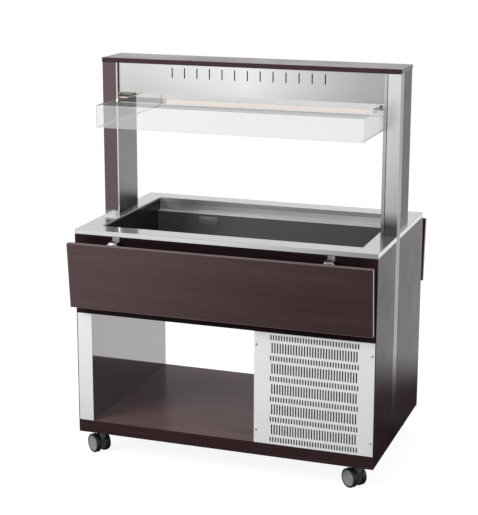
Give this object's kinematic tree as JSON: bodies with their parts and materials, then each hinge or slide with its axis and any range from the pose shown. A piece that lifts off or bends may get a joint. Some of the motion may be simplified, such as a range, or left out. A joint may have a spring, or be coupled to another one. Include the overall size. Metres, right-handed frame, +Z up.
{
  "type": "mobile salad bar",
  "caption": "Wheeled cabinet with a sunk cold well, a slotted machine bay, folding tray slides on both long sides, and a canopy lamp over a clear food guard.",
  "frame": {"origin": "on the floor under the middle of the counter", "axes": "+Z up, +X along the counter towards the machine compartment, -Y towards the pictured front"},
  "size_m": [1.184, 0.889, 1.532],
  "materials": {
    "wenge_laminate": "satin",
    "brushed_steel": "brushed",
    "polished_steel": "polished",
    "well_steel": "satin",
    "zinc_steel": "satin",
    "white_paint": "satin",
    "lamp_glass": "gloss",
    "clear_acrylic": "polished",
    "black_rubber": "matte",
    "grey_plastic": "matte",
    "black_plastic": "matte",
    "black_paint": "gloss",
    "copper": "satin",
    "aluminium_fins": "satin",
    "foam": "matte"
  },
  "bodies": {
    "cabinet": {"base_board": "wenge_laminate", "compressor": "black_paint", "condenser": "aluminium_fins", "control_unit": "black_plastic", "counter_top": "brushed_steel", "deck_panel": "wenge_laminate", "fan_housing": "black_plastic", "front_apron": "wenge_laminate", "front_fascia": "brushed_steel", "front_grille": "brushed_steel", "front_left_hinge_bracket": "zinc_steel", "front_right_hinge_bracket": "zinc_steel", "lamp_housing": "white_paint", "lamp_tube": "lamp_glass", "left_column_shell": "polished_steel", "left_guard_bracket": "polished_steel", "left_guard_screw": "polished_steel", "left_post": "brushed_steel", "left_side_panel_front": "wenge_laminate", "left_side_panel_rear": "wenge_laminate", "left_upright_cladding": "wenge_laminate", "left_upright_liner": "brushed_steel", "machine_partition": "polished_steel", "rear_apron": "wenge_laminate", "rear_fascia": "brushed_steel", "rear_left_hinge_bracket": "zinc_steel", "rear_right_hinge_bracket": "zinc_steel", "rear_service_panel": "brushed_steel", "right_guard_bracket": "polished_steel", "right_guard_screw": "polished_steel", "right_post": "brushed_steel", "right_side_panel_front": "wenge_laminate", "right_side_panel_rear": "wenge_laminate", "right_upright_cladding": "wenge_laminate", "right_upright_liner": "brushed_steel", "sneeze_guard": "clear_acrylic", "suction_line": "copper", "top_board": "wenge_laminate", "well_insulation": "foam", "well_tank": "well_steel"},
    "front_slide": {"front_tray_slide": "wenge_laminate", "front_left_slide_arm": "zinc_steel", "front_right_slide_arm": "zinc_steel"},
    "front_left_caster": {"front_left_caster_yoke": "grey_plastic"},
    "front_left_outer_wheel_body": {"front_left_outer_wheel": "black_rubber"},
    "front_left_inner_wheel_body": {"front_left_inner_wheel": "black_rubber"},
    "front_right_caster": {"front_right_caster_yoke": "grey_plastic"},
    "front_right_outer_wheel_body": {"front_right_outer_wheel": "black_rubber"},
    "front_right_inner_wheel_body": {"front_right_inner_wheel": "black_rubber"},
    "rear_slide": {"rear_tray_slide": "wenge_laminate", "rear_left_slide_arm": "zinc_steel", "rear_right_slide_arm": "zinc_steel"},
    "rear_left_caster": {"rear_left_caster_yoke": "grey_plastic"},
    "rear_left_outer_wheel_body": {"rear_left_outer_wheel": "black_rubber"},
    "rear_left_inner_wheel_body": {"rear_left_inner_wheel": "black_rubber"},
    "rear_right_caster": {"rear_right_caster_yoke": "grey_plastic"},
    "rear_right_outer_wheel_body": {"rear_right_outer_wheel": "black_rubber"},
    "rear_right_inner_wheel_body": {"rear_right_inner_wheel": "black_rubber"},
    "fan": {"fan_rotor": "black_plastic"},
    "switch": {"switch_rocker": "grey_plastic"}
  },
  "joints": [
    {"name": "front_slide_hinge", "type": "hinge", "parent": "cabinet", "child": "front_slide", "pos_m": [0, -0.405, 0.867], "axis": [-1, 0, 0], "range_deg": [0, 95]},
    {"name": "rear_slide_hinge", "type": "hinge", "parent": "cabinet", "child": "rear_slide", "pos_m": [0, 0.405, 0.867], "axis": [1, 0, 0], "range_deg": [0, 95]},
    {"name": "front_left_swivel", "type": "hinge", "parent": "cabinet", "child": "front_left_caster", "pos_m": [-0.52, -0.315, 0.05], "axis": [0, 0, 1], "continuous": true},
    {"name": "front_left_outer_roll", "type": "hinge", "parent": "front_left_caster", "child": "front_left_outer_wheel_body", "pos_m": [-0.54915, -0.32067, 0.0375], "axis": [0.5592, 0.829, 0], "continuous": true},
    {"name": "front_left_inner_roll", "type": "hinge", "parent": "front_left_caster", "child": "front_left_inner_wheel_body", "pos_m": [-0.52567, -0.28585, 0.0375], "axis": [0.5592, 0.829, 0], "continuous": true},
    {"name": "front_right_swivel", "type": "hinge", "parent": "cabinet", "child": "front_right_caster", "pos_m": [0.52, -0.315, 0.05], "axis": [0, 0, 1], "continuous": true},
    {"name": "front_right_outer_roll", "type": "hinge", "parent": "front_right_caster", "child": "front_right_outer_wheel_body", "pos_m": [0.49085, -0.32067, 0.0375], "axis": [0.5592, 0.829, 0], "continuous": true},
    {"name": "front_right_inner_roll", "type": "hinge", "parent": "front_right_caster", "child": "front_right_inner_wheel_body", "pos_m": [0.51433, -0.28585, 0.0375], "axis": [0.5592, 0.829, 0], "continuous": true},
    {"name": "rear_left_swivel", "type": "hinge", "parent": "cabinet", "child": "rear_left_caster", "pos_m": [-0.52, 0.315, 0.05], "axis": [0, 0, 1], "continuous": true},
    {"name": "rear_left_outer_roll", "type": "hinge", "parent": "rear_left_caster", "child": "rear_left_outer_wheel_body", "pos_m": [-0.54915, 0.30933, 0.0375], "axis": [0.5592, 0.829, 0], "continuous": true},
    {"name": "rear_left_inner_roll", "type": "hinge", "parent": "rear_left_caster", "child": "rear_left_inner_wheel_body", "pos_m": [-0.52567, 0.34415, 0.0375], "axis": [0.5592, 0.829, 0], "continuous": true},
    {"name": "rear_right_swivel", "type": "hinge", "parent": "cabinet", "child": "rear_right_caster", "pos_m": [0.52, 0.315, 0.05], "axis": [0, 0, 1], "continuous": true},
    {"name": "rear_right_outer_roll", "type": "hinge", "parent": "rear_right_caster", "child": "rear_right_outer_wheel_body", "pos_m": [0.49085, 0.30933, 0.0375], "axis": [0.5592, 0.829, 0], "continuous": true},
    {"name": "rear_right_inner_roll", "type": "hinge", "parent": "rear_right_caster", "child": "rear_right_inner_wheel_body", "pos_m": [0.51433, 0.34415, 0.0375], "axis": [0.5592, 0.829, 0], "continuous": true},
    {"name": "fan_spin", "type": "hinge", "parent": "cabinet", "child": "fan", "pos_m": [0.36, -0.2257, 0.285], "axis": [0, 1, 0], "continuous": true},
    {"name": "switch_tilt", "type": "hinge", "parent": "cabinet", "child": "switch", "pos_m": [0.322, 0.3763, 0.531], "axis": [-1, 0, 0], "range_deg": [0, 18]}
  ]
}
